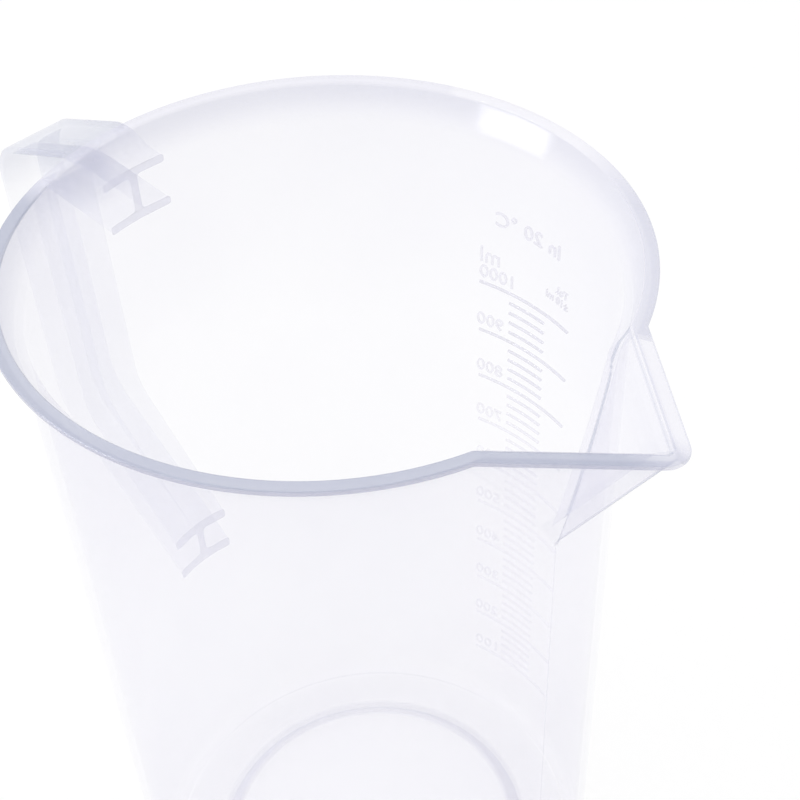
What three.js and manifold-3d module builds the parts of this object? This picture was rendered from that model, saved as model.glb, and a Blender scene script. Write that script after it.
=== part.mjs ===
import * as THREE from 'three';
import { mergeVertices } from 'three/addons/utils/BufferGeometryUtils.js';
import Module from 'manifold-3d';

const wasm = await Module();
wasm.setup();

// A one-litre measuring jug, moulded in translucent polypropylene.
// Millimetres, +Z up. The spout points along +X and the handle along -X.
// All drops are measured down from the rim plane.

// Vessel
const jugHeight = 176;
const mouthRadius = 52.1;        // outer face of the barrel, carried up to the rim plane
const footRadius = 50;           // outer face of the barrel, carried down to the standing plane
const wallThickness = 1.6;

// Base
const floorThickness = 1.8;
const footCornerRadius = 3;
const floorCornerRadius = 2;
const baseShoulder = 1.2;        // straight wall left on the base above its inside corner
const recessRadius = 36;         // edge of the recess under the floor
const recessHeight = 2;
const recessTaper = 2.5;         // how far the recess draws in over its height

// Rim collar
const collarHeight = 5.6;
const collarFlare = 3.2;         // how far the wall leans out over the collar's height
const lipWidth = 2.45;
const lipThickness = 0.96;

// Pouring spout
const spoutReach = 18.7;         // nose of the spout beyond the round lip
const spoutDepth = 35;           // drop of the point where the keel leaves the wall
const spoutAngle = 79.6;         // degrees between the two straight lips
const spoutNoseRadius = 4;
const spoutLipOverhang = 1.9;    // lip beyond the flank, level with the rim
const spoutLipBevel = 1.6;       // drop over which the flank opens out into its lip

// Handle: an I-section strap, two flanges joined by a web
const handleWidth = 14;
const flangeThickness = 1.5;
const webThickness = 1.4;
const fingerGap = 24.8;          // wall to the finger face, at the top of the grip
const gripDepth = 11.2;          // finger face to palm face
const gripLean = 2.4;            // the foot of the grip stands this much nearer to the wall
const upperRootDrop = 8.1;       // palm face where it meets the wall
const upperRootDepth = 10.1;
const armRise = 2;               // rise of the upper arm's underside on its way out
const crestReach = 9.5;          // highest point of the palm face, out from the wall
const crestDrop = 4.2;
const shoulderDrop = 14.5;
const elbowDrop = 78.5;          // finger face, where the grip turns back towards the wall
const elbowDepth = 5;            // how much lower the palm face turns
const lowerRootDrop = 103.3;     // finger face where it meets the wall
const lowerRootDepth = 11;
const crestRadius = 8;
const shoulderRadius = 10;
const fingerTopRadius = 7;
const fingerElbowRadius = 10;
const palmElbowRadius = 16;

// Raised scale on the wall, a quarter turn from the spout
const scaleFirst = 100;          // millilitres
const scaleLast = 1000;
const scaleStep = 20;
const scaleLongStep = 100;
const scaleAzimuth = 88;         // degrees from the spout
const longMarkWidth = 24.2;      // along the wall
const shortMarkWidth = 9.4;
const markHeight = 0.6;
const markRelief = 0.3;

// Clearances
const seatGap = 0.3;             // handle and spout to the vessel's outer face

const cutMargin = 2;              // how far a cut runs on past the face that it opens

// Fineness of the round surfaces
const roundSegments = 96;
const arcStep = 10;              // degrees

const halfAngle = THREE.MathUtils.degToRad( spoutAngle / 2 );
const draft = ( mouthRadius - footRadius ) / jugHeight;
const collarBottom = jugHeight - collarHeight;
const wallBottom = floorThickness + floorCornerRadius + baseShoulder;
const aboveJug = jugHeight + cutMargin;

const outerRadiusAt = z => footRadius + draft * z;
const innerRadiusAt = z => outerRadiusAt( z ) - wallThickness;

// Solids

function solidFrom( geometry ) {

	const bare = geometry.clone();
	bare.deleteAttribute( 'normal' );
	bare.deleteAttribute( 'uv' );
	const merged = mergeVertices( bare, 1e-5 );
	const triVerts = [];

	for ( let i = 0; i < merged.index.count; i += 3 ) {

		const [ a, b, c ] = [ 0, 1, 2 ].map( k => merged.index.getX( i + k ) );
		if ( a !== b && b !== c && c !== a ) triVerts.push( a, b, c );

	}

	return new wasm.Manifold( new wasm.Mesh( {
		numProp: 3,
		vertProperties: new Float32Array( merged.attributes.position.array ),
		triVerts: new Uint32Array( triVerts ),
	} ) );

}

function geometryFrom( solid ) {

	const { vertProperties, triVerts } = solid.getMesh();
	const geometry = new THREE.BufferGeometry();
	geometry.setAttribute( 'position', new THREE.BufferAttribute( vertProperties, 3 ) );
	geometry.setIndex( new THREE.BufferAttribute( triVerts, 1 ) );
	geometry.computeVertexNormals();
	return geometry;

}

// A profile of [ radius, z ] points, counter-clockwise round its material, turned about the axis.
function revolve( profile ) {

	const points = profile.map( ( [ r, z ] ) => new THREE.Vector2( r, z ) );
	const geometry = new THREE.LatheGeometry( points, roundSegments );
	geometry.rotateX( Math.PI / 2 );
	return solidFrom( geometry );

}

// A quarter round in a profile, about a centre, from one angle to another.
function arc( [ cr, cz ], radius, from, to ) {

	const steps = Math.max( 1, Math.round( Math.abs( to - from ) / ( 2 * arcStep ) ) );

	return Array.from( { length: steps + 1 }, ( _, i ) => {

		const a = THREE.MathUtils.degToRad( from + ( to - from ) * i / steps );
		return [ cr + radius * Math.cos( a ), cz + radius * Math.sin( a ) ];

	} );

}

// Vessel wall, base and rim collar: one lathe profile each, met on level joint planes

function makeWall() {

	return revolve( [
		[ innerRadiusAt( wallBottom ), wallBottom ],
		[ outerRadiusAt( wallBottom ), wallBottom ],
		[ outerRadiusAt( collarBottom ), collarBottom ],
		[ innerRadiusAt( collarBottom ), collarBottom ],
		[ innerRadiusAt( wallBottom ), wallBottom ],
	] );

}

function makeBase() {

	const outerCorner = [ outerRadiusAt( footCornerRadius ) - footCornerRadius, footCornerRadius ];
	const innerCornerZ = floorThickness + floorCornerRadius;
	const innerCorner = [ innerRadiusAt( innerCornerZ ) - floorCornerRadius, innerCornerZ ];

	return revolve( [
		[ 0, recessHeight ],
		[ recessRadius - recessTaper, recessHeight ],
		[ recessRadius, 0 ],
		...arc( outerCorner, footCornerRadius, - 90, 0 ),
		[ outerRadiusAt( wallBottom ), wallBottom ],
		[ innerRadiusAt( wallBottom ), wallBottom ],
		...arc( innerCorner, floorCornerRadius, 0, - 90 ),
		[ recessRadius, floorThickness ],
		[ recessRadius - recessTaper, recessHeight + floorThickness ],
		[ 0, recessHeight + floorThickness ],
	] );

}

const lipInnerRadius = innerRadiusAt( collarBottom ) + collarFlare;
const lipOuterRadius = lipInnerRadius + lipWidth;
const lipUnderside = jugHeight - lipThickness;
const flareAt = z => collarFlare * ( z - collarBottom ) / collarHeight;
const flareOuterRadius = outerRadiusAt( collarBottom ) + flareAt( lipUnderside );

function makeCollar() {

	return revolve( [
		[ innerRadiusAt( collarBottom ), collarBottom ],
		[ outerRadiusAt( collarBottom ), collarBottom ],
		[ flareOuterRadius, lipUnderside ],
		[ lipOuterRadius, lipUnderside ],
		[ lipOuterRadius, jugHeight ],
		[ lipInnerRadius, jugHeight ],
		[ innerRadiusAt( collarBottom ), collarBottom ],
	] );

}

// Everything inside the outer faces of wall, collar and lip, with the seat gap round it.
// The handle and the spout are cut to it.
function makeSeat() {

	return revolve( [
		[ 0, 0 ],
		[ outerRadiusAt( 0 ) + seatGap, 0 ],
		[ outerRadiusAt( collarBottom ) + seatGap, collarBottom - seatGap ],
		[ flareOuterRadius + seatGap, lipUnderside - seatGap ],
		[ lipOuterRadius + seatGap, lipUnderside - seatGap ],
		[ lipOuterRadius + seatGap, aboveJug ],
		[ 0, aboveJug ],
	] );

}

// The space inside the vessel, carried on upwards.
function makeCavity() {

	return revolve( [
		[ 0, 0 ],
		[ innerRadiusAt( 0 ), 0 ],
		[ innerRadiusAt( collarBottom ), collarBottom ],
		[ lipInnerRadius, jugHeight ],
		[ lipInnerRadius, aboveJug ],
		[ 0, aboveJug ],
	] );

}

// Pouring spout: two flat flanks that meet in a keel, with a lip along their top edges

const lipNoseX = lipOuterRadius + spoutReach;
const lipOuterTip = lipNoseX + spoutNoseRadius * ( 1 / Math.sin( halfAngle ) - 1 );
const lipInnerTip = lipOuterTip - lipWidth / Math.sin( halfAngle );
const keelTop = lipOuterTip - spoutLipOverhang / Math.sin( halfAngle );
const keelSlope = ( keelTop - outerRadiusAt( jugHeight - spoutDepth ) ) / spoutDepth;
const flankNormalX = Math.sin( halfAngle ) / Math.hypot( 1, keelSlope * Math.sin( halfAngle ) );
const channelTop = keelTop - wallThickness / flankNormalX;

// In plan, the inner edges of the straight and the round lip part at a kink. A mitre through
// the kink, square to the straight lip, divides collar and spout. Carried inwards, both mitres
// cross the middle plane at x = mitreX.
const lipLineOffset = lipInnerTip * Math.sin( halfAngle );
const kinkRun = Math.sqrt( lipInnerRadius ** 2 - lipLineOffset ** 2 );
const kinkX = lipLineOffset * Math.sin( halfAngle ) + kinkRun * Math.cos( halfAngle );
const kinkY = lipLineOffset * Math.cos( halfAngle ) - kinkRun * Math.sin( halfAngle );
const mitreX = kinkX - kinkY * Math.tan( halfAngle );

// The space between the mitres, above the collar's joint plane, drawn in from both by a gap.
function makeSpoutSector( gap ) {

	const apex = mitreX + gap / Math.cos( halfAngle );
	const farX = apex + lipOuterTip * Math.sin( halfAngle );
	const farY = lipOuterTip * Math.cos( halfAngle );
	const plan = new THREE.Shape( [
		new THREE.Vector2( apex, 0 ),
		new THREE.Vector2( farX, - farY ),
		new THREE.Vector2( farX, farY ),
	] );
	const geometry = new THREE.ExtrudeGeometry( plan, {
		depth: aboveJug - collarBottom,
		bevelEnabled: false,
	} );
	geometry.translate( 0, 0, collarBottom );
	return solidFrom( geometry );

}

// A trough bounded by two flanks of the spout's plan angle and a level top. Its keel passes
// through x = tip at the rim plane, and runs inwards by slope for each millimetre down. The
// flanks run back to the place where they pass nearest to the axis, inside the vessel.
function makeTrough( tip, slope, rise ) {

	const top = jugHeight + rise;
	const topTip = tip + slope * rise;
	const backX = topTip * Math.sin( halfAngle ) ** 2;
	const backY = topTip * Math.sin( halfAngle ) * Math.cos( halfAngle );
	const positions = [
		topTip, 0, top,
		backX, backY, top,
		backX, - backY, top,
		backX, 0, top - ( topTip - backX ) / slope,
	];
	const geometry = new THREE.BufferGeometry();
	geometry.setAttribute( 'position', new THREE.Float32BufferAttribute( positions, 3 ) );
	geometry.setIndex( [ 0, 1, 2, 0, 3, 1, 0, 2, 3, 1, 3, 2 ] );
	return solidFrom( geometry );

}

function makeChannel() {

	const bevelSlope = ( lipInnerTip - channelTop ) / spoutLipBevel + keelSlope;
	const hollow = makeTrough( channelTop, keelSlope, cutMargin );
	const bevel = makeTrough( lipInnerTip, bevelSlope, cutMargin );
	return hollow.add( bevel );

}

// The lip's plan: straight edges that run together, with a round nose.
function makeSpoutLip() {

	const noseX = lipNoseX - spoutNoseRadius;
	const noseTurn = Math.PI / 2 - halfAngle;
	const backX = lipOuterTip * Math.sin( halfAngle ) ** 2;
	const backY = lipOuterTip * Math.sin( halfAngle ) * Math.cos( halfAngle );
	const plan = new THREE.Shape();
	plan.moveTo( backX, backY );
	plan.lineTo( backX, - backY );
	plan.absarc( noseX, 0, spoutNoseRadius, - noseTurn, noseTurn );
	plan.closePath();

	const geometry = new THREE.ExtrudeGeometry( plan, {
		depth: lipThickness,
		curveSegments: Math.round( 180 / arcStep ),
		bevelEnabled: false,
	} );
	geometry.translate( 0, 0, lipUnderside );
	return solidFrom( geometry );

}

// Between the mitres the spout also has the collar's share of the rim, down to the joint plane.
function makeSpout( channel, seat, collar ) {

	const sector = makeSpoutSector( seatGap );
	const flanks = makeTrough( keelTop, keelSlope, 0 );
	const shell = flanks.add( makeSpoutLip() ).subtract( seat.subtract( sector ) ).subtract( makeCavity() );
	return shell.add( collar.intersect( sector ) ).subtract( channel );

}

// Handle

// A line through [ reach, drop, radius ] corners, with each corner rounded to its radius.
// Each point comes with the normal on its left-hand side, to set off a parallel line from it.
function roundedLine( corners ) {

	const at = corners.map( ( [ reach, drop ] ) => new THREE.Vector2( reach, drop ) );
	const leftOf = d => new THREE.Vector2( - d.y, d.x );
	const heading = i => at[ i + 1 ].clone().sub( at[ i ] ).normalize();
	const line = [ { point: at[ 0 ], normal: leftOf( heading( 0 ) ) } ];

	for ( let i = 1; i < at.length - 1; i ++ ) {

		const before = heading( i - 1 );
		const after = heading( i );
		const turn = Math.atan2( before.cross( after ), before.dot( after ) );
		const radius = corners[ i ][ 2 ];
		const start = at[ i ].clone().addScaledVector( before, - radius * Math.tan( Math.abs( turn ) / 2 ) );
		const centre = start.clone().addScaledVector( leftOf( before ), radius * Math.sign( turn ) );
		const steps = Math.ceil( Math.abs( THREE.MathUtils.radToDeg( turn ) ) / arcStep );

		for ( let k = 0; k <= steps; k ++ ) {

			const angle = turn * k / steps;
			const point = start.clone().rotateAround( centre, angle );
			const normal = leftOf( before ).rotateAround( new THREE.Vector2(), angle );
			line.push( { point, normal } );

		}

	}

	line.push( { point: at.at( - 1 ), normal: leftOf( heading( at.length - 2 ) ) } );
	return line;

}

function alongside( line, distance ) {

	return line.map( ( { point, normal } ) => point.clone().addScaledVector( normal, distance ) );

}

// An outline between two lines of [ reach, drop ] points, made into a plate across the handle.
function makePlate( lineA, lineB, width ) {

	const outline = [ ...lineA, ...lineB.slice().reverse() ];
	const shape = new THREE.Shape( outline.map( p => new THREE.Vector2( - p.x, jugHeight - p.y ) ) );
	const geometry = new THREE.ExtrudeGeometry( shape, { depth: width, bevelEnabled: false } );
	geometry.translate( 0, 0, - width / 2 );
	geometry.rotateX( Math.PI / 2 );
	return solidFrom( geometry );

}

const fingerReach = mouthRadius + fingerGap;
const palmReach = fingerReach + gripDepth;
const upperRootFingerDrop = upperRootDrop + upperRootDepth;
const lowerRootPalmDrop = lowerRootDrop + lowerRootDepth;

const crest = [ mouthRadius + crestReach, crestDrop, crestRadius ];
const palmShoulder = [ palmReach, shoulderDrop, shoulderRadius ];
const palmElbow = [ palmReach - gripLean, elbowDrop + elbowDepth, palmElbowRadius ];
const fingerTop = [ fingerReach, upperRootFingerDrop - armRise, fingerTopRadius ];
const fingerElbow = [ fingerReach - gripLean, elbowDrop, fingerElbowRadius ];

// An arm's end inside the wall, where the seat trims it. The arm runs on straight from its
// last corner through the place where it meets the wall's outer face.
function rootOf( [ reach, drop ], rootDrop ) {

	const faceReach = outerRadiusAt( jugHeight - rootDrop );
	const rootReach = footRadius - wallThickness;
	const slope = ( rootDrop - drop ) / ( reach - faceReach );
	return [ rootReach, rootDrop + slope * ( faceReach - rootReach ) ];

}

const palmLine = roundedLine( [
	rootOf( crest, upperRootDrop ),
	crest,
	palmShoulder,
	palmElbow,
	rootOf( palmElbow, lowerRootPalmDrop ),
] );

const fingerLine = roundedLine( [
	rootOf( fingerTop, upperRootFingerDrop ),
	fingerTop,
	fingerElbow,
	rootOf( fingerElbow, lowerRootDrop ),
] );

const palmFace = alongside( palmLine, 0 );
const palmFlangeInside = alongside( palmLine, flangeThickness );
const fingerFace = alongside( fingerLine, 0 );
const fingerFlangeInside = alongside( fingerLine, - flangeThickness );

// Raised scale: every mark stands at the height that its volume fills

function frustumVolume( r0, r1, height ) {

	return Math.PI * height * ( r0 * r0 + r0 * r1 + r1 * r1 ) / 3;

}

const floorRadius = innerRadiusAt( floorThickness );
const recessVolume = frustumVolume( recessRadius, recessRadius - recessTaper, recessHeight );
const cornerSection = ( 1 - Math.PI / 4 ) * floorCornerRadius ** 2;
const cornerVolume = cornerSection * 2 * Math.PI * ( floorRadius - floorCornerRadius / 4 );

// In cubic millimetres
function volumeBelow( z ) {

	const straight = frustumVolume( floorRadius, innerRadiusAt( z ), z - floorThickness );
	return straight - recessVolume - cornerVolume;

}

function heightHolding( millilitres ) {

	let low = floorThickness;
	let high = jugHeight;

	while ( high - low > 1e-4 ) {

		const middle = ( low + high ) / 2;
		if ( volumeBelow( middle ) < 1000 * millilitres ) low = middle;
		else high = middle;

	}

	return low;

}

// A band round the wall at height z, kept over the width of one mark.
function makeMark( z, width ) {

	const low = z - markHeight / 2;
	const high = z + markHeight / 2;
	const sunk = wallThickness / 2;
	const band = revolve( [
		[ outerRadiusAt( low ) - sunk, low ],
		[ outerRadiusAt( low ) + markRelief, low ],
		[ outerRadiusAt( high ) + markRelief, high ],
		[ outerRadiusAt( high ) - sunk, high ],
		[ outerRadiusAt( low ) - sunk, low ],
	] );
	const middle = THREE.MathUtils.degToRad( scaleAzimuth );
	const spread = width / 2 / outerRadiusAt( z );
	const far = 2 * mouthRadius;
	const sector = new THREE.Shape( [
		new THREE.Vector2( 0, 0 ),
		new THREE.Vector2( far * Math.cos( middle - spread ), far * Math.sin( middle - spread ) ),
		new THREE.Vector2( far * Math.cos( middle + spread ), far * Math.sin( middle + spread ) ),
	] );
	const wedge = new THREE.ExtrudeGeometry( sector, { depth: jugHeight, bevelEnabled: false } );
	return band.intersect( solidFrom( wedge ) );

}

function addScale( wall ) {

	let marked = wall;

	for ( let volume = scaleFirst; volume <= scaleLast; volume += scaleStep ) {

		const z = heightHolding( volume );
		if ( z + markHeight > collarBottom ) break;
		const width = volume % scaleLongStep === 0 ? longMarkWidth : shortMarkWidth;
		marked = marked.add( makeMark( z, width ) );

	}

	return marked;

}

// Assembly

function named( name, solid ) {

	const material = new THREE.MeshStandardMaterial( { color: 0xe6e7ee, roughness: 0.3, metalness: 0 } );
	const mesh = new THREE.Mesh( geometryFrom( solid ), material );
	mesh.name = name;
	return mesh;

}

const seat = makeSeat();
const channel = makeChannel();
const collar = makeCollar();

const jug = new THREE.Group();
jug.add(
	named( 'vessel_wall', addScale( makeWall() ).subtract( channel ) ),
	named( 'base', makeBase() ),
	named( 'rim_collar', collar.subtract( makeSpoutSector( 0 ) ) ),
	named( 'pouring_spout', makeSpout( channel, seat, collar ) ),
	named( 'handle_outer_flange', makePlate( palmFace, palmFlangeInside, handleWidth ).subtract( seat ) ),
	named( 'handle_web', makePlate( palmFlangeInside, fingerFlangeInside, webThickness ).subtract( seat ) ),
	named( 'handle_inner_flange', makePlate( fingerFace, fingerFlangeInside, handleWidth ).subtract( seat ) ),
);

// The origin lies on the standing plane, half-way between the spout's nose and the grip.
const handleReach = Math.max( ...palmFace.map( p => p.x ) );
jug.position.x = ( handleReach - lipNoseX ) / 2;

export default jug;
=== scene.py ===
import math

import bmesh
import bpy
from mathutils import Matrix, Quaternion, Vector


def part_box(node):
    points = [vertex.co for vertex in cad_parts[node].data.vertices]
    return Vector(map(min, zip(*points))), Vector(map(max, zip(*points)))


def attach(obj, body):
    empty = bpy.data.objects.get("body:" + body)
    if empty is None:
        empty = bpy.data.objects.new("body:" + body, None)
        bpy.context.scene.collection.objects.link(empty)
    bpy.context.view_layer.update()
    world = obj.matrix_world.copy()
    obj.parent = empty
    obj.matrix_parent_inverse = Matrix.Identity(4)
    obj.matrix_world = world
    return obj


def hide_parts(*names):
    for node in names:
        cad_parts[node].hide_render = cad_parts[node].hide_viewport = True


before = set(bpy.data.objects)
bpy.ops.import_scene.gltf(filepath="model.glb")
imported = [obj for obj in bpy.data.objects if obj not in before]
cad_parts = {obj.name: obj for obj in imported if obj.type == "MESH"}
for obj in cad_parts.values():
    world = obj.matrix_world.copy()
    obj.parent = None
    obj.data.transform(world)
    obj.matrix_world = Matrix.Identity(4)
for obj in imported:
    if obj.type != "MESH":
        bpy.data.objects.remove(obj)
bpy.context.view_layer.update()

# The vessel: a tapered wall with a raised floor, a flared collar with a flat lip, and the V spout.
# The real one is a single thin-walled injection moulding in natural polypropylene, milky clear
# with a cold cast. Sizes are in millimetres, from its own axis and the plane that it stands on.
MM = 0.001
jug_height = 176.0
mouth_radius = 52.1
foot_radius = 50.0
wall_thickness = 1.6
floor_thickness = 1.8
foot_corner = 3.0
floor_corner = 2.0
recess_radius = 36.0
recess_height = 2.0
recess_taper = 2.5
collar_height = 5.6
collar_flare = 3.2
lip_width = 2.45
lip_thickness = 0.96
lip_edge = 0.28
spout_reach = 18.7
spout_depth = 35.0
spout_half_angle = math.radians(39.8)
spout_nose = 4.0
spout_overhang = 1.9
spout_bevel = 1.6
keel_round = 0.35
channel_round = 1.0
bend_blend = 0.25
inner_crease, outer_crease = 0.15, 0.3

base_low, base_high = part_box("base")
axis_x = (base_low.x + base_high.x) / 2
sin_half, cos_half = math.sin(spout_half_angle), math.cos(spout_half_angle)
collar_bottom = jug_height - collar_height
lip_underside = jug_height - lip_thickness
floor_top = floor_thickness + recess_height
recess_top_radius = recess_radius - recess_taper
barrel_taper = (mouth_radius - foot_radius) / jug_height


def barrel(z):
    return foot_radius + (mouth_radius - foot_radius) * z / jug_height


lip_inner = barrel(collar_bottom) - wall_thickness + collar_flare
lip_outer = lip_inner + lip_width
nose_x = lip_outer + spout_reach
lip_tip = nose_x + spout_nose * (1 / sin_half - 1)
keel_top = lip_tip - spout_overhang / sin_half
keel_slope = (keel_top - barrel(jug_height - spout_depth)) / spout_depth
flank_lean = sin_half / math.hypot(1, keel_slope * sin_half)
channel_top = keel_top - wall_thickness / flank_lean
channel_drop = (channel_top - mouth_radius + wall_thickness) / (keel_slope - barrel_taper)
channel_end = jug_height - channel_drop
lip_inner_tip = lip_tip - lip_width / sin_half
bevel_slope = (lip_inner_tip - channel_top) / spout_bevel + keel_slope
inner_line, outer_line = lip_inner_tip * sin_half, lip_tip * sin_half


def soft_max(first, second, blend):
    closeness = max(blend - abs(first - second), 0.0) / blend
    return max(first, second) + closeness * closeness * blend / 4


def vessel_outline(azimuth, ring, flank, nose, blend):
    """Radius of the round vessel joined to the V of the spout. flank is the distance of the
    V's straight sides from the axis, nose the rounding of its tip, blend the softness of the
    crease between the two."""
    turn = min(abs(azimuth), math.pi / 2 - spout_half_angle)
    radius = flank / math.sin(spout_half_angle + turn)
    centre = (flank - nose) / sin_half
    touch = math.atan2(nose * cos_half, centre + nose * sin_half)
    if turn < touch:
        reach = nose**2 - (centre * math.sin(turn)) ** 2
        radius = centre * math.cos(turn) + math.sqrt(max(reach, 0))
    return soft_max(ring, radius, blend)


def inner_ring(z):
    flared = barrel(collar_bottom) - wall_thickness + collar_flare * (z - collar_bottom) / collar_height
    return soft_max(barrel(z) - wall_thickness, flared, bend_blend)


def outer_ring(z):
    flared = barrel(collar_bottom) + collar_flare * (z - collar_bottom) / collar_height
    return soft_max(barrel(z), flared, bend_blend)


def channel_flank(z):
    drop = jug_height - z
    channel, bevel = channel_top - keel_slope * drop, lip_inner_tip - bevel_slope * drop
    return soft_max(channel, bevel, bend_blend) * sin_half


def outer_flank(z):
    return (keel_top - keel_slope * (jug_height - z)) * sin_half


def lip_ring(z, inset):
    """A ring of the lip, set in from its outer edge."""
    return z, lip_outer - inset, outer_line - inset, spout_nose - inset, inner_crease


def quarter(radius, start, end, steps=4):
    turns = [math.radians(start + (end - start) * i / steps) for i in range(steps + 1)]
    return [(radius * math.cos(t), radius * math.sin(t)) for t in turns]


def spaced(start, end, step):
    count = max(1, round(abs(end - start) / step))
    return [start + (end - start) * i / count for i in range(count + 1)]


# The skin is drawn as rings, from the middle of the floor up the inside, over the lip and down
# the outside to the middle of the foot. A ring is its height, the radius of its round part, the
# distance of the flanks, the rounding of the nose and the softness of the crease.
round_only = (0, 0.1, 0.1)
rings = []
for radius in (8, 16, 24, 30, recess_top_radius - 0.8, recess_top_radius - 0.2):
    rings.append((floor_top, radius, *round_only))
rings.append((floor_top - 0.2, recess_top_radius + 0.2, *round_only))
rings.append((floor_thickness + 0.2, recess_radius - 0.2, *round_only))
corner_start = foot_radius - wall_thickness - floor_corner
for radius in (recess_radius + 0.3, recess_radius + 1.2, 42, corner_start - 0.6):
    rings.append((floor_thickness, radius, *round_only))
corner_z = floor_thickness + floor_corner
corner_middle = barrel(corner_z) - wall_thickness - floor_corner
for out, up in quarter(floor_corner, -90, 0, 6):
    rings.append((corner_z + up, corner_middle + out, *round_only))

spout_zone = jug_height - spout_depth - 2
inner_heights = spaced(corner_z + 1.5, spout_zone, 5.5)
inner_heights += spaced(spout_zone + 0.7, jug_height - spout_bevel - 0.4, 0.7)
inner_heights += spaced(jug_height - spout_bevel - 0.1, jug_height - 0.3, 0.26)
for z in inner_heights:
    rings.append((z, inner_ring(z), channel_flank(z), channel_round, inner_crease))

# The lip's inner edge, top face, outer edge and underside, which runs into the wall in a fillet
lip_start = len(rings) - 1
lip_inner_round = 1.2
for out, drop in ((0.0, 0.22), (0.03, 0.1), (0.1, 0.03), (0.22, 0.0), (0.5, 0.0)):
    rings.append((jug_height - drop, lip_inner + out, inner_line + out, lip_inner_round, inner_crease))
for share in (0.4, 0.6):
    out = lip_width * share
    nose = lip_inner_round + (spout_nose - lip_inner_round) * share
    rings.append((jug_height, lip_inner + out, inner_line + out, nose, inner_crease))
rings.append(lip_ring(jug_height, 0.6))
for out, up in quarter(lip_edge, 90, 0):
    rings.append(lip_ring(jug_height - lip_edge + up, lip_edge - out))
for out, up in quarter(lip_edge, 0, -90):
    rings.append(lip_ring(lip_underside + lip_edge + up, lip_edge - out))
for drop, ring_out, flank_out, keel_out, crease in (
    (0.0, 0.65, 0.9, 0.9, 0.2),
    (0.0, 0.35, 0.4, 0.4, 0.2),
    (0.1, 0.12, 0.13, 0.1, 0.2),
    (0.35, 0.0, 0.0, 0.0, 0.25),
):
    z = lip_underside - drop
    rings.append((z, outer_ring(z) + ring_out, outer_flank(z) + flank_out, keel_round + keel_out, crease))
lip_end = len(rings) - 1

outer_heights = spaced(lip_underside - 0.9, spout_zone, 0.7)
outer_heights += spaced(spout_zone - 5.5, foot_corner + 1.5, 5.5)
for z in outer_heights:
    rings.append((z, outer_ring(z), outer_flank(z), keel_round, outer_crease))
for out, down in quarter(foot_corner, 0, -90, 6):
    rings.append((foot_corner + down, barrel(foot_corner) - foot_corner + out, *round_only))
for radius in (recess_radius + 6, recess_radius + 1.0, recess_radius + 0.25):
    rings.append((0, radius, *round_only))
rings.append((0.2, recess_radius - 0.25, *round_only))
rings.append((recess_height - 0.2, recess_top_radius + 0.25, *round_only))
for radius in (recess_top_radius - 0.25, recess_top_radius - 1, 30, 20, 10):
    rings.append((recess_height, radius, *round_only))

# Close columns round the spout, wider ones round the rest
azimuths = [math.radians(a) for a in spaced(-26, 26, 0.25) + spaced(27.5, 332.5, 1.5)]

# What makes parts of the skin look denser or clearer than the rest, painted light and shade
# included. The lip's section has its steps numbered from its inner edge.
fold_core, fold_edge = 0.225, 0.6
keel_core, keel_edge = 4.0, 4.6
crease_shift = 2.8
bevel_shows, rim_painted_light = 0.8, 0.25
straight_lip_end, scale_end = 19, 110
inner_edge_steps, outer_edge_steps, underside_steps = range(1, 4), range(12, 16), range(20, 22)


def progress(value, start, end):
    """How far a value has come from start to end, as a share from 0 to 1."""
    return max(0.0, min(1.0, (value - start) / (end - start)))


def line_haze(off_line):
    """A hair-fine line of painted shade along a crease or the keel, by the distance off it."""
    return progress(abs(off_line), fold_edge, fold_core)


def channel_haze(past, z):
    """The channel on the scale's side, by the distance past its crease: a faint band beside the
    crease, the bevel under the lip, which is dense, and a shade before the crease on the collar."""
    if past <= 0:
        return 0.2 * progress(past, -2, 0) if z > collar_bottom else 0.0
    if z > jug_height - bevel_shows:
        return 0.47
    if z > collar_bottom + 1 and past < 1.5:
        return 0.15
    return 0.09 if past < 1.3 else -0.02 if past < 4.5 else -0.07


def flank_haze(past, off_middle, z, scale_side):
    """The outside of the spout: its solid keel, which is really denser, the painted shade line of the
    keel's edge, and that of the crease of the scale's side below the end of the channel."""
    haze = 0.0
    if past > 0:
        thin, solid = (0.0, 0.06) if scale_side else (0.02, 0.2)
        haze = max(thin, solid * progress(off_middle, keel_edge, keel_core))
    haze = max(haze, 0.7 * line_haze(off_middle))
    if not scale_side:
        return max(haze, 0.1 * line_haze(past))
    return max(haze, line_haze(past + 0.3)) if z < channel_end + 3.5 else haze


def spout_haze(azimuth, z, ring, flank, inside):
    """How much denser the spout looks than the wall, inside or outside. It is 0 off the spout. On the
    scale's side the spout is drawn clearer up the collar, which is painted light."""
    turn = abs(azimuth)
    if flank / sin_half < ring or turn > math.pi / 2 - spout_half_angle - 0.02:
        return 0.0
    side = flank / math.sin(spout_half_angle + turn)
    past = (side - ring) * math.tan(spout_half_angle + turn)
    scale_side = azimuth > 0
    if inside:
        past -= crease_shift * (1 - progress(z, collar_bottom - 1.5, collar_bottom + 3.5))
        haze = 0.02 if past > 0 else 0.0
        if scale_side:
            haze = channel_haze(past, z)
            if z > channel_end + 2:
                haze = max(haze, line_haze(past))
    else:
        haze = flank_haze(past, max(side, ring) * math.sin(turn), z, scale_side)
    if scale_side and past > 0:
        haze -= rim_painted_light * progress(z, collar_bottom, collar_bottom + 3)
    return haze


def lip_haze(azimuth, step):
    """How much denser or clearer the lip is drawn at a step of its section. It changes by side as
    painted light and shade, for how each side looks from the camera. Of the straight lip on the
    scale's side only the edges are dense. The round lip beside it is dense too, and gets clearer
    towards the scale. On the other side the outer edge and the underside are clearer."""
    degrees = math.degrees(azimuth)
    if 0.5 < degrees < straight_lip_end:
        if step in inner_edge_steps or step in outer_edge_steps:
            return 0.25
        return 0.05 if step in underside_steps else -0.1
    if straight_lip_end <= degrees < scale_end:
        return max(-0.1, min(0.25, (72 - degrees) / 60))
    return -0.38 if step >= outer_edge_steps.start and degrees < 0 else 0.0


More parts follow.
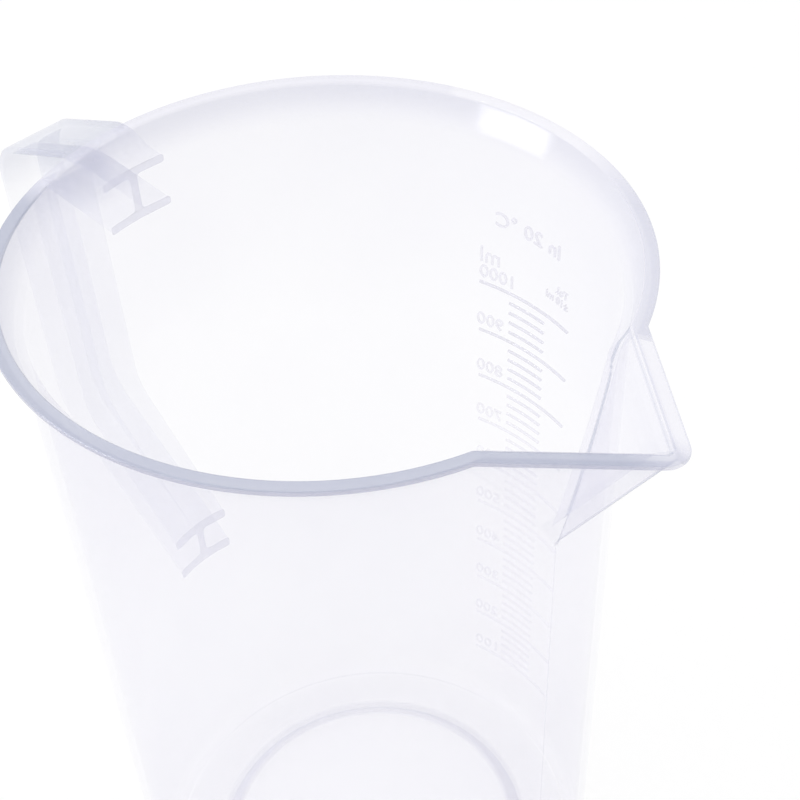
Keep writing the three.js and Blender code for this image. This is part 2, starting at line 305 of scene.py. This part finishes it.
def floor_haze(z, ring):
    """The floor is drawn darker round its raised middle, and darker still on the step of the middle."""
    if z > floor_top or ring > foot_radius - 4:
        return 0.0
    if abs(ring - recess_radius + recess_taper / 2) < recess_taper * 0.7:
        return 0.35
    return 0.12 if ring > recess_radius else 0.0


def piece_of(skin, name, smooth=False):
    """An object of the scene made from a closed skin, and shaded smooth where it is asked for."""
    bmesh.ops.recalc_face_normals(skin, faces=skin.faces)
    if smooth:
        for face in skin.faces:
            face.smooth = True
    data = bpy.data.meshes.new(name)
    skin.to_mesh(data)
    skin.free()
    piece = bpy.data.objects.new(name, data)
    bpy.context.collection.objects.link(piece)
    if smooth:
        even = piece.modifiers.new("Even shading", "WEIGHTED_NORMAL")
        even.keep_sharp = True
    return piece


vessel_skin = bmesh.new()
haze_and_shade_there = vessel_skin.verts.layers.float.new("local_haze_and_shade")
columns = []
for azimuth in azimuths:
    wrapped = math.atan2(math.sin(azimuth), math.cos(azimuth))
    column = []
    for k, (z, ring, flank, nose, crease) in enumerate(rings):
        radius = vessel_outline(wrapped, ring, flank, nose, crease)
        x = axis_x + radius * math.cos(azimuth) * MM
        point = vessel_skin.verts.new((x, radius * math.sin(azimuth) * MM, z * MM))
        if lip_start < k < lip_end:
            point[haze_and_shade_there] = lip_haze(wrapped, k - lip_start)
        elif z <= floor_top:
            point[haze_and_shade_there] = floor_haze(z, ring)
        else:
            point[haze_and_shade_there] = spout_haze(wrapped, z, ring, flank, k < lip_start)
        column.append(point)
    columns.append(column)
floor_middle = vessel_skin.verts.new((axis_x, 0, floor_top * MM))
foot_middle = vessel_skin.verts.new((axis_x, 0, recess_height * MM))
for column, after in zip(columns, columns[1:] + columns[:1]):
    vessel_skin.faces.new((floor_middle, column[0], after[0]))
    for k in range(len(rings) - 1):
        face = vessel_skin.faces.new((column[k], column[k + 1], after[k + 1], after[k]))
        face.material_index = lip_start <= k < lip_end
    vessel_skin.faces.new((foot_middle, after[-1], column[-1]))
vessel = piece_of(vessel_skin, "vessel", smooth=True)


def ramp(tree, value, start, end, to_start, to_end):
    """A node that carries a value from one range to another and holds it at the ends."""
    made = tree.nodes.new("ShaderNodeMapRange")
    made.inputs["From Min"].default_value = start
    made.inputs["From Max"].default_value = end
    made.inputs["To Min"].default_value = to_start
    made.inputs["To Max"].default_value = to_end
    tree.links.new(value, made.inputs["Value"])
    return made


def sum_of(tree, values):
    """A node that adds up values, in their order."""
    total = values[0]
    for value in values[1:]:
        adder = tree.nodes.new("ShaderNodeMath")
        adder.operation = "ADD"
        tree.links.new(total, adder.inputs[0])
        tree.links.new(value, adder.inputs[1])
        total = adder.outputs["Value"]
    return adder


# How moulded polypropylene clouds what is behind it. Haze 0 is the thin clear wall and 1 the
# dense solid lip. It drifts a little in patches. Sharp edges get more of it: partly the longer
# way through the plastic there, partly painted shade for the dark lines that refraction draws.
clouding = bpy.data.node_groups.new("Melt clouding", "ShaderNodeTree")
for name, kind, value in (
    ("Clear", "NodeSocketColor", (1, 1, 1, 1)),
    ("Dense", "NodeSocketColor", (0.8, 0.8, 0.85, 1)),
    ("Haze", "NodeSocketFloat", 0.0),
    ("Edge Haze And Shade", "NodeSocketFloat", 0.5),
    ("Edge Width", "NodeSocketFloat", 0.0005),
    ("Clear Cover", "NodeSocketFloat", 0.07),
    ("Dense Cover", "NodeSocketFloat", 0.3),
    ("Patch Size", "NodeSocketFloat", 30.0),
    ("Gloss Low", "NodeSocketFloat", 0.02),
    ("Gloss High", "NodeSocketFloat", 0.05),
):
    socket = clouding.interface.new_socket(name, in_out="INPUT", socket_type=kind)
    socket.default_value = value
clouding.interface.new_socket("Colour", in_out="OUTPUT", socket_type="NodeSocketColor")
clouding.interface.new_socket("Cover", in_out="OUTPUT", socket_type="NodeSocketFloat")
clouding.interface.new_socket("Roughness", in_out="OUTPUT", socket_type="NodeSocketFloat")
clouding.interface.new_socket("Normal", in_out="OUTPUT", socket_type="NodeSocketVector")
nodes, links = clouding.nodes, clouding.links
given, result = nodes.new("NodeGroupInput").outputs, nodes.new("NodeGroupOutput").inputs
place = nodes.new("ShaderNodeTexCoord")
patches = nodes.new("ShaderNodeTexNoise")
patches.inputs["Detail"].default_value = 3.0
links.new(place.outputs["Object"], patches.inputs["Vector"])
links.new(given["Patch Size"], patches.inputs["Scale"])
gloss = ramp(clouding, patches.outputs["Fac"], 0.3, 0.7, 0, 1)
links.new(given["Gloss Low"], gloss.inputs["To Min"])
links.new(given["Gloss High"], gloss.inputs["To Max"])
links.new(gloss.outputs["Result"], result["Roughness"])
drift = ramp(clouding, patches.outputs["Fac"], 0, 1, -0.05, 0.05)
surface = nodes.new("ShaderNodeNewGeometry")
rounding = nodes.new("ShaderNodeBevel")
rounding.samples = 6
links.new(given["Edge Width"], rounding.inputs["Radius"])
likeness = nodes.new("ShaderNodeVectorMath")
likeness.operation = "DOT_PRODUCT"
links.new(surface.outputs["Normal"], likeness.inputs[0])
links.new(rounding.outputs["Normal"], likeness.inputs[1])
edges = ramp(clouding, likeness.outputs["Value"], 0.985, 0.9, 0, 1)
gathered = nodes.new("ShaderNodeMath")
gathered.operation = "MULTIPLY"
links.new(edges.outputs["Result"], gathered.inputs[0])
links.new(given["Edge Haze And Shade"], gathered.inputs[1])
haze = sum_of(clouding, (given["Haze"], drift.outputs["Result"], gathered.outputs["Value"]))
haze.use_clamp = True
blend = nodes.new("ShaderNodeMix")
blend.data_type = "RGBA"
links.new(haze.outputs["Value"], blend.inputs["Factor"])
links.new(given["Clear"], blend.inputs["A"])
links.new(given["Dense"], blend.inputs["B"])
links.new(blend.outputs["Result"], result["Colour"])
cover = ramp(clouding, haze.outputs["Value"], 0, 1, 0, 1)
links.new(given["Clear Cover"], cover.inputs["To Min"])
links.new(given["Dense Cover"], cover.inputs["To Max"])
links.new(cover.outputs["Result"], result["Cover"])
polish = nodes.new("ShaderNodeTexNoise")
polish.inputs["Scale"].default_value = 420.0
polish.inputs["Detail"].default_value = 2.0
links.new(place.outputs["Object"], polish.inputs["Vector"])
ripple = nodes.new("ShaderNodeBump")
ripple.inputs["Strength"].default_value = 0.04
ripple.inputs["Distance"].default_value = 0.0002
links.new(polish.outputs["Fac"], ripple.inputs["Height"])
links.new(ripple.outputs["Normal"], result["Normal"])

clear_colour, dense_colour = (0.78, 0.76, 0.90, 1), (0.44, 0.465, 0.58, 1)
clear_cover, dense_cover = 0.06, 0.62
gloss_low, gloss_high = 0.05, 0.12


def plastic(name, haze, edge_haze_and_shade, patch_size):
    """A material of the jug's plastic: a film of cloud over what is seen straight through it."""
    made = bpy.data.materials.new(name)
    made.use_nodes = True
    nodes, links = made.node_tree.nodes, made.node_tree.links
    body = nodes.new("ShaderNodeGroup")
    body.node_tree = clouding
    body.name = "body"
    body.inputs["Clear"].default_value = clear_colour
    body.inputs["Dense"].default_value = dense_colour
    body.inputs["Haze"].default_value = haze
    body.inputs["Edge Haze And Shade"].default_value = edge_haze_and_shade
    body.inputs["Clear Cover"].default_value = clear_cover
    body.inputs["Dense Cover"].default_value = dense_cover
    body.inputs["Patch Size"].default_value = patch_size
    body.inputs["Gloss Low"].default_value = gloss_low
    body.inputs["Gloss High"].default_value = gloss_high
    shader = nodes["Principled BSDF"]
    shader.inputs["IOR"].default_value = 1.49
    links.new(body.outputs["Colour"], shader.inputs["Base Color"])
    links.new(body.outputs["Cover"], shader.inputs["Alpha"])
    links.new(body.outputs["Roughness"], shader.inputs["Roughness"])
    links.new(body.outputs["Normal"], shader.inputs["Normal"])
    return made


def place_on(tree):
    """Where a point of the piece is, as X, Y and Z in the part's frame."""
    place = tree.nodes.new("ShaderNodeTexCoord")
    split = tree.nodes.new("ShaderNodeSeparateXYZ")
    tree.links.new(place.outputs["Object"], split.inputs["Vector"])
    return split.outputs


def drawn_haze(tree):
    """The haze, with the painted light and shade, that was given to the points of the skin."""
    drawn = tree.nodes.new("ShaderNodeAttribute")
    drawn.attribute_name = "local_haze_and_shade"
    return drawn.outputs["Fac"]


# A look through wall, spout and handle crosses more faces than the default allows for
bpy.context.scene.cycles.transparent_max_bounces = 48

# The thin wall is nearly clear, a little hazier towards the collar, and drawn darker towards the
# foot. Where it turns away only its outer face is left, and it looks as dense as both.
wall_plastic = plastic("natural_polypropylene", 0.03, 0.3, 30.0)
tree = wall_plastic.node_tree
height = place_on(tree)["Z"]
collar_haze = ramp(tree, height, (collar_bottom - 2) * MM, lip_underside * MM, 0, 0.32)
collar_haze.interpolation_type = "SMOOTHSTEP"
upper_haze = ramp(tree, height, 120 * MM, collar_bottom * MM, 0, 0.14)
foot_darkening = ramp(tree, height, 62 * MM, 0, 0, 0.065)
turned = tree.nodes.new("ShaderNodeLayerWeight")
turned_haze = ramp(tree, turned.outputs["Facing"], 0.4, 0.95, 0, 0.14)
wall_haze_and_shade = sum_of(tree, (
    collar_haze.outputs["Result"],
    upper_haze.outputs["Result"],
    foot_darkening.outputs["Result"],
    drawn_haze(tree),
    turned_haze.outputs["Result"],
))
tree.links.new(wall_haze_and_shade.outputs["Value"], tree.nodes["body"].inputs["Haze"])

# The solid lip is dense. It is drawn denser still on the side of the jug that has no scale:
# painted shade, for how dark that side of the lip looks from the camera.
lip_plastic = plastic("natural_polypropylene_lip", 0.5, 0.0, 60.0)
tree = lip_plastic.node_tree
tree.nodes["body"].inputs["Dense Cover"].default_value = 0.76
place = tree.nodes.new("ShaderNodeTexCoord")
side_way = tree.nodes.new("ShaderNodeVectorMath")
side_way.operation = "DOT_PRODUCT"
side_way.inputs[1].default_value = (-0.163, 1, 0)
tree.links.new(place.outputs["Object"], side_way.inputs[0])
near_lip_painted_shade = ramp(tree, side_way.outputs["Value"], -9 * MM, -18 * MM, 0.28, 1.0)
lip_haze_and_shade = sum_of(tree, (near_lip_painted_shade.outputs["Result"], drawn_haze(tree)))
tree.links.new(lip_haze_and_shade.outputs["Value"], tree.nodes["body"].inputs["Haze"])

vessel.data.materials.append(wall_plastic)
vessel.data.materials.append(lip_plastic)
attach(vessel, "root")
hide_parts("vessel_wall", "base", "rim_collar", "pouring_spout")

# The handle: an I-section strap, a palm flange and a finger flange joined by a web. It is moulded
# with the vessel in the same plastic and runs out into the wall through small fillets. Its lines
# lie in the jug's middle plane, as (distance from the axis, drop below the rim).
handle_width = 14.0
flange_thickness = 1.5
web_thickness = 1.4
finger_gap = 24.8
grip_depth = 11.2
grip_lean = 2.4
upper_root_drop = 8.1
upper_root_depth = 10.1
arm_rise = 2.0
crest_reach = 9.5
crest_drop = 4.2
shoulder_drop = 14.5
elbow_drop = 78.5
elbow_depth = 5.0
lower_root_drop = 103.3
lower_root_depth = 11.0
crest_radius, shoulder_radius, palm_elbow_radius = 8.0, 10.0, 16.0
finger_top_radius, finger_elbow_radius = 7.0, 10.0
flange_edge = 0.4
web_fillet = 0.9
root_fillet = 0.15
root_gap = 0.02
clear_of_wall = 7.0

finger_reach = mouth_radius + finger_gap
palm_reach = finger_reach + grip_depth
crest = (mouth_radius + crest_reach, crest_drop, crest_radius)
palm_shoulder = (palm_reach, shoulder_drop, shoulder_radius)
palm_elbow = (palm_reach - grip_lean, elbow_drop + elbow_depth, palm_elbow_radius)
finger_top = (finger_reach, upper_root_drop + upper_root_depth - arm_rise, finger_top_radius)
finger_elbow = (finger_reach - grip_lean, elbow_drop, finger_elbow_radius)


def root_of(corner, root_drop):
    """An arm's end inside the wall, on a straight line that meets the outer face at root_drop."""
    face_reach, root_reach = barrel(jug_height - root_drop), foot_radius - wall_thickness
    slope = (root_drop - corner[1]) / (corner[0] - face_reach)
    return (root_reach, root_drop + slope * (face_reach - root_reach), 0)


palm_corners = [
    root_of(crest, upper_root_drop),
    crest,
    palm_shoulder,
    palm_elbow,
    root_of(palm_elbow, lower_root_drop + lower_root_depth),
]
finger_corners = [
    root_of(finger_top, upper_root_drop + upper_root_depth),
    finger_top,
    finger_elbow,
    root_of(finger_elbow, lower_root_drop),
]


def turned_by(vector, angle):
    sine, cosine = math.sin(angle), math.cos(angle)
    return Vector((vector.x * cosine - vector.y * sine, vector.x * sine + vector.y * cosine))


def rounded_line(corners):
    """Points and left-hand normals along a line with rounded corners, each with its distance
    along the line, and the distance to the middle of each corner."""
    at = [Vector(corner[:2]) for corner in corners]
    line, middles, gone = [(at[0], None, 0.0)], [], 0.0
    for i in range(1, len(at) - 1):
        before, after = (at[i] - at[i - 1]).normalized(), (at[i + 1] - at[i]).normalized()
        turn = math.atan2(before.x * after.y - before.y * after.x, before.dot(after))
        radius = corners[i][2]
        left = Vector((-before.y, before.x))
        start = at[i] - before * radius * math.tan(abs(turn) / 2)
        centre = start + left * math.copysign(radius, turn)
        steps = max(2, round(abs(math.degrees(turn)) / 5))
        for k in range(steps + 1):
            point = centre + turned_by(start - centre, turn * k / steps)
            gone += (point - line[-1][0]).length
            line.append((point, turned_by(left, turn * k / steps), gone))
            if k == steps // 2:
                middles.append(gone)
    gone += (at[-1] - line[-1][0]).length
    line.append((at[-1], line[-1][1], gone))
    line[0] = (at[0], line[1][1], 0.0)
    return line, middles


def point_at(line, distance):
    for (point, normal, before), (later, turned_to, after) in zip(line, line[1:]):
        if distance <= after or later is line[-1][0]:
            share = (distance - before) / max(after - before, 1e-9)
            return point.lerp(later, share), normal.lerp(turned_to, share).normalized()


# Stations pair the two lines: wall to shoulder, shoulder to elbow, elbow to wall
palm_line, (_, shoulder_at, palm_elbow_at) = rounded_line(palm_corners)
finger_line, (finger_top_at, finger_elbow_at) = rounded_line(finger_corners)
palm_end, finger_end = (line[-1][2] - clear_of_wall - 2 for line in (palm_line, finger_line))
palm_stops = (clear_of_wall, shoulder_at, palm_elbow_at, palm_end)
finger_stops = (clear_of_wall, finger_top_at, finger_elbow_at, finger_end)
leg_steps = (22, 30, 22)
stations = []
for leg, count in enumerate(leg_steps):
    last_leg = leg == len(leg_steps) - 1
    for k in range(count + last_leg):
        share = k / count
        palm = palm_stops[leg] + (palm_stops[leg + 1] - palm_stops[leg]) * share
        finger = finger_stops[leg] + (finger_stops[leg + 1] - finger_stops[leg]) * share
        stations.append((point_at(palm_line, palm), point_at(finger_line, finger)))

# Half of the I, from the middle of a flange's outer face to the web. Each entry is the depth
# below the face, the distance from the middle plane, and which way it moves in the root fillet.
half_width, half_web = handle_width / 2, web_thickness / 2
arc = ((0.38, 0.92), (0.71, 0.71), (0.92, 0.38))
half_i = [(0, 0, -1, 0), (0, half_width * 0.5, -1, 0), (0, half_width - flange_edge, -1, 0)]
for sine, cosine in arc:
    across = half_width - flange_edge * (1 - sine)
    half_i.append((flange_edge * (1 - cosine), across, -cosine, sine))
half_i.append((flange_edge, half_width, 0, 1))
half_i.append((flange_thickness - flange_edge, half_width, 0, 1))
for sine, cosine in reversed(arc):
    across = half_width - flange_edge * (1 - sine)
    half_i.append((flange_thickness - flange_edge * (1 - cosine), across, cosine, sine))
half_i.append((flange_thickness, half_width - flange_edge, 1, 0))
half_i.append((flange_thickness, half_web + web_fillet, 1, 1))
for sine, cosine in arc:
    across = half_web + web_fillet * (1 - sine)
    half_i.append((flange_thickness + web_fillet * (1 - cosine), across, 1, 1))
half_i.append((flange_thickness + web_fillet, half_web, 1, 1))


def strap_section(station, swell):
    """The I between a point of the palm line and one of the finger line, swollen by a fillet."""
    (palm, palm_inward), (finger, finger_outward) = station
    points = []
    for face, inward, order in ((palm, palm_inward, 1), (finger, -finger_outward, -1)):
        side = [
            (face + inward * (depth + swell * deeper), across + swell * wider)
            for depth, across, deeper, wider in half_i
        ]
        points += side[::order]
    mirrored = [(point, -across) for point, across in points[1:-1]]
    return points + mirrored[::-1]


def run_to_wall(section, outward, distance):
    """Slides each point of a section along the arm until it is a distance off the vessel."""
    moved = []
    for point, across in section:
        slid = point.copy()
        for _ in range(6):
            off = math.hypot(slid.x, across) - barrel(jug_height - slid.y) - distance
            slid -= outward * (off / max(outward.x, 0.2))
        moved.append((slid, across))
    return moved


def root_sections(station, outward, steps=6):
    parts = [run_to_wall(strap_section(station, 0), outward, root_fillet + 0.3)]
    for k in range(steps + 1):
        turn = math.pi / 2 * k / steps
        swollen = strap_section(station, root_fillet * (1 - math.cos(turn)))
        parts.append(run_to_wall(swollen, outward, root_fillet * (1 - math.sin(turn))))
    parts.append(run_to_wall(strap_section(station, root_fillet), outward, root_gap))
    return parts


def tube(skin, loops):
    """Joins loops of points into a tube with closed ends, and gives the two end faces."""
    for loop, after in zip(loops, loops[1:]):
        for k in range(len(loop)):
            n = (k + 1) % len(loop)
            skin.faces.new((loop[k], loop[n], after[n], after[k]))
    return skin.faces.new(loops[0]), skin.faces.new(loops[-1][::-1])


upper_out = (Vector(finger_top[:2]) - Vector(finger_corners[0][:2])).normalized()
lower_out = (Vector(finger_elbow[:2]) - Vector(finger_corners[-1][:2])).normalized()
sections = root_sections(stations[0], upper_out)[::-1]
sections += [strap_section(station, 0) for station in stations]
sections += root_sections(stations[-1], lower_out)
strap_skin = bmesh.new()
strap_loops = []
for section in sections:
    places = [(axis_x - p.x * MM, across * MM, (jug_height - p.y) * MM) for p, across in section]
    strap_loops.append([strap_skin.verts.new(place) for place in places])
for end in tube(strap_skin, strap_loops):
    end.material_index = 1
strap = piece_of(strap_skin, "strap_handle", smooth=True)

# The crest of the upper arm is drawn hazier where it stands clear of the rim: painted shade, for
# how the crest looks from the camera's side.
strap_plastic = plastic("natural_polypropylene_handle", 0.1, 0.0, 60.0)
tree = strap_plastic.node_tree
tree.nodes["body"].inputs["Clear"].default_value = (0.76, 0.77, 0.88, 1)
place = place_on(tree)
crest_painted_shade = ramp(tree, place["Z"], 150 * MM, 166 * MM, 0, 0.55)
past_rim = ramp(tree, place["X"], axis_x - 58 * MM, axis_x - 63 * MM, 0, 1)
crest_only = tree.nodes.new("ShaderNodeMath")
crest_only.operation = "MULTIPLY_ADD"
crest_only.inputs[2].default_value = 0.06
tree.links.new(crest_painted_shade.outputs["Result"], crest_only.inputs[0])
tree.links.new(past_rim.outputs["Result"], crest_only.inputs[1])
tree.links.new(crest_only.outputs["Value"], tree.nodes["body"].inputs["Haze"])
strap.data.materials.append(strap_plastic)
# The end faces of the arms, seen through the wall, are drawn dense: partly the plastic seen along the
# arm, partly painted shade where the handle keeps the light off the wall.
strap.data.materials.append(plastic("natural_polypropylene_root", 0.5, 0.0, 60.0))
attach(strap, "root")
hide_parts("handle_outer_flange", "handle_web", "handle_inner_flange")

# The scale: low ribs on the outside of the wall, one for every 20 ml and a long one for every
# 100 ml, moulded with it. Each stands at the height that its volume fills.
scale_azimuth = 88.0
long_mark, short_mark = 24.2, 9.4
mark_height, mark_relief, mark_sink = 0.6, 0.3, 0.2


def frustum(bottom_radius, top_radius, height):
    squares = bottom_radius**2 + bottom_radius * top_radius + top_radius**2
    return math.pi * height * squares / 3


def height_holding(millilitres):
    floor_radius = barrel(floor_thickness) - wall_thickness
    raised = frustum(recess_radius, recess_top_radius, recess_height)
    corner = (1 - math.pi / 4) * floor_corner**2 * 2 * math.pi * (floor_radius - floor_corner / 4)
    low, high = floor_thickness, jug_height
    while high - low > 1e-4:
        middle = (low + high) / 2
        held = frustum(floor_radius, barrel(middle) - wall_thickness, middle - floor_thickness)
        if held - raised - corner < 1000 * millilitres:
            low = middle
        else:
            high = middle
    return low


def on_wall(azimuth, z, relief):
    """A point on the outside of the wall, or proud of it by relief."""
    radius, turn = barrel(z) + relief, math.radians(azimuth)
    return (axis_x + radius * math.cos(turn) * MM, radius * math.sin(turn) * MM, z * MM)


# One side of a rib, from the wall over its rounded edge, as (relief, height)
half_mark = mark_height / 2
half_rib = [(-mark_sink, half_mark), (0.1, half_mark), (0.22, 0.22), (mark_relief, 0.1)]
rib_section = [(relief, -up) for relief, up in half_rib] + half_rib[::-1]
scale_skin = bmesh.new()
for millilitres in range(100, 1001, 20):
    z = height_holding(millilitres)
    length = long_mark if millilitres % 100 == 0 else short_mark
    spread = math.degrees(length / 2 / barrel(z))
    loops = []
    for azimuth in spaced(scale_azimuth - spread, scale_azimuth + spread, 1.2):
        loops.append([scale_skin.verts.new(on_wall(azimuth, z + up, out)) for out, up in rib_section])
    tube(scale_skin, loops)
scale = piece_of(scale_skin, "scale_ribs")


def relief_plastic(name, haze_below, haze_above):
    """Plastic of a raised mark, of the same plastic as the wall but drawn darker: painted shade for
    the dark lines that refraction draws at its edges. It stands out less low on the wall.
    """
    made = plastic(name, haze_above, 0.0, 90.0)
    tree = made.node_tree
    tree.nodes["body"].inputs["Dense"].default_value = (0.42, 0.43, 0.49, 1)
    fade = ramp(tree, place_on(tree)["Z"], 80 * MM, 115 * MM, haze_below, haze_above)
    tree.links.new(fade.outputs["Result"], tree.nodes["body"].inputs["Haze"])
    return made


scale.data.materials.append(relief_plastic("raised_lines", 0.05, 0.36))
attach(scale, "root")

# The figures of the scale: plain sans-serif numbers and signs, raised on the wall in the same
# moulding as the ribs, to be read from outside. Each is its words, first and last azimuth,
# bottom and height.
figures = [
    ("In 20 \u00b0C", 78.65, 97.35, jug_height - 26.15, 3.5),
    ("ml", 96.25, 101.25, jug_height - 36.4, 3.8),
    ("Tol.", 75.15, 79.35, jug_height - 34.4, 1.8),
    ("\u00b110 ml", 75.15, 82.35, jug_height - 36.9, 1.8),
    ("1000", 92.45, 101.45, height_holding(1000) + 1.45, 3.1),
]
for millilitres in range(100, 901, 100):
    figures.append((str(millilitres), 94.95, 102.15, height_holding(millilitres) + 1.65, 3.0))
figure_relief, figure_sink = 0.25, 0.15

figure_skin = bmesh.new()
for words, first, last, bottom, height in figures:
    letters = bpy.data.curves.new("letters", "FONT")
    letters.body = words
    letters.extrude = 0.1
    letters.resolution_u = 3
    writer = bpy.data.objects.new("letters", letters)
    bpy.context.collection.objects.link(writer)
    bpy.context.view_layer.update()
    flat = bpy.data.meshes.new_from_object(writer.evaluated_get(bpy.context.evaluated_depsgraph_get()))
    start, end = min(v.co.x for v in flat.vertices), max(v.co.x for v in flat.vertices)
    tall = max(v.co.y for v in flat.vertices)
    for v in flat.vertices:
        azimuth = first + (last - first) * (v.co.x - start) / (end - start)
        relief = figure_relief if v.co.z > 0 else -figure_sink
        v.co = on_wall(azimuth, bottom + height * v.co.y / tall, relief)
    figure_skin.from_mesh(flat)
    bpy.data.objects.remove(writer)
    bpy.data.curves.remove(letters)
    bpy.data.meshes.remove(flat)
bmesh.ops.remove_doubles(figure_skin, verts=figure_skin.verts, dist=1e-7)
figure = piece_of(figure_skin, "scale_figures")
figure.data.materials.append(relief_plastic("raised_figures", 0.05, 0.22))
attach(figure, "root")

# The witness line: a hair-fine ridge of the same plastic, down the wall under the spout, left
# where the halves of the mould met.
witness_section = [(-0.1, -0.09), (0.03, -0.07), (0.06, 0.0), (0.03, 0.07), (-0.1, 0.09)]
witness_skin = bmesh.new()
loops = []
for z in spaced(foot_corner + 0.5, jug_height - spout_depth - 1.0, 6.0):
    loops.append([
        witness_skin.verts.new(on_wall(math.degrees(across / barrel(z)), z, relief))
        for relief, across in witness_section
    ])
tube(witness_skin, loops)
witness = piece_of(witness_skin, "witness_line")
witness.data.materials.append(relief_plastic("mould_line", 0.03, 0.1))
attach(witness, "root")

# The bench that the jug stands on, of white paper, and a plain white world behind it in place of a
# backdrop. The bench glows in part, so that it stays pale and keeps a soft shadow.
bench_half, paper_white, paper_rough = 3, 0.95, 0.8
paper_glow, air_strength = 0.8, 0.95


def seen_plainly(tree):
    """1 where a thing is seen straight, in a reflection or through plastic, and 0 for other light."""
    path = tree.nodes.new("ShaderNodeLightPath")
    seen = path.outputs["Is Camera Ray"]
    for way in ("Is Glossy Ray", "Is Transmission Ray"):
        either = tree.nodes.new("ShaderNodeMath")
        either.operation = "MAXIMUM"
        tree.links.new(seen, either.inputs[0])
        tree.links.new(path.outputs[way], either.inputs[1])
        seen = either.outputs[0]
    return seen


bench_data = bpy.data.meshes.new("bench")
bench_corners = [(x * bench_half, y * bench_half, 0) for x, y in ((-1, -1), (1, -1), (1, 1), (-1, 1))]
bench_data.from_pydata(bench_corners, [], [(0, 1, 2, 3)])
bench = bpy.data.objects.new("bench", bench_data)
bpy.context.collection.objects.link(bench)
paper = bpy.data.materials.new("white_paper")
paper.use_nodes = True
tree = paper.node_tree
nodes, links = tree.nodes, tree.links
sheet = nodes["Principled BSDF"]
sheet.inputs["Base Color"].default_value = (paper_white, paper_white, paper_white, 1)
sheet.inputs["Roughness"].default_value = paper_rough
glow = nodes.new("ShaderNodeEmission")
glow.inputs["Strength"].default_value = 1.0
part_glow = nodes.new("ShaderNodeMath")
part_glow.operation = "MULTIPLY"
part_glow.inputs[1].default_value = paper_glow
links.new(seen_plainly(tree), part_glow.inputs[0])
mixed = nodes.new("ShaderNodeMixShader")
links.new(part_glow.outputs[0], mixed.inputs["Fac"])
links.new(sheet.outputs["BSDF"], mixed.inputs[1])
links.new(glow.outputs["Emission"], mixed.inputs[2])
links.new(mixed.outputs["Shader"], nodes["Material Output"].inputs["Surface"])
bench_data.materials.append(paper)

world = bpy.data.worlds.new("studio")
bpy.context.scene.world = world
world.use_nodes = True
tree = world.node_tree
nodes, links = tree.nodes, tree.links
air = nodes["Background"]
air.inputs["Color"].default_value = (1, 1, 1, 1)
air.inputs["Strength"].default_value = air_strength
white = nodes.new("ShaderNodeBackground")
white.inputs["Color"].default_value = (1, 1, 1, 1)
white.inputs["Strength"].default_value = 1.0
mixed = nodes.new("ShaderNodeMixShader")
links.new(seen_plainly(tree), mixed.inputs["Fac"])
links.new(air.outputs["Background"], mixed.inputs[1])
links.new(white.outputs["Background"], mixed.inputs[2])
links.new(mixed.outputs["Shader"], nodes["World Output"].inputs["Surface"])


# The lamps: a large soft box high over the side without a scale, and a small one beside it that
# only shows as the glint on the wall and lip.
def soft_box(name, width, depth, energy, stand, aim):
    lamp = bpy.data.lights.new(name, "AREA")
    lamp.shape = "RECTANGLE"
    lamp.size, lamp.size_y = width, depth
    lamp.energy = energy
    box = bpy.data.objects.new(name, lamp)
    box.location = stand
    box.rotation_euler = (Vector(aim) - box.location).to_track_quat("-Z", "Y").to_euler()
    bpy.context.collection.objects.link(box)
    return box


soft_box("soft_key", 0.8, 0.8, 4, (-0.6, -0.5, 1.1), (0, 0, 0.08))
strip = soft_box("strip_glint", 0.36, 0.2, 2.5, (-0.363, -0.618, 0.405), (0.008, 0.051, 0.173))
strip.visible_diffuse = False

# The camera stands where the photograph's stood, found from the rim, the spout, the scale and
# the handle. Its lens and its middle are in pixels of the photograph, which is 800 wide.
photo_width, focal_length, middle_x, middle_y = 800, 1585.35, 497.19, 402.90
azimuth, elevation, tilt = math.radians(40.804), math.radians(42.858), math.radians(0.465)
camera_data = bpy.data.cameras.new("camera")
camera_data.sensor_width = 36
camera_data.lens = focal_length * camera_data.sensor_width / photo_width
camera_data.shift_x = (photo_width / 2 - middle_x) / photo_width
camera_data.shift_y = (middle_y - photo_width / 2) / photo_width
camera = bpy.data.objects.new("camera", camera_data)
camera.location = (0.166952, -0.141288, 0.338190)
level_share = math.cos(elevation)
back = Vector((
    math.sin(azimuth) * level_share,
    -math.cos(azimuth) * level_share,
    math.sin(elevation),
))
level = (-back).to_track_quat("-Z", "Y")
camera.rotation_euler = (level @ Quaternion((0, 0, 1), tilt)).to_euler()
bpy.context.collection.objects.link(camera)
bpy.context.scene.camera = camera
bpy.context.scene.view_settings.view_transform = "Standard"
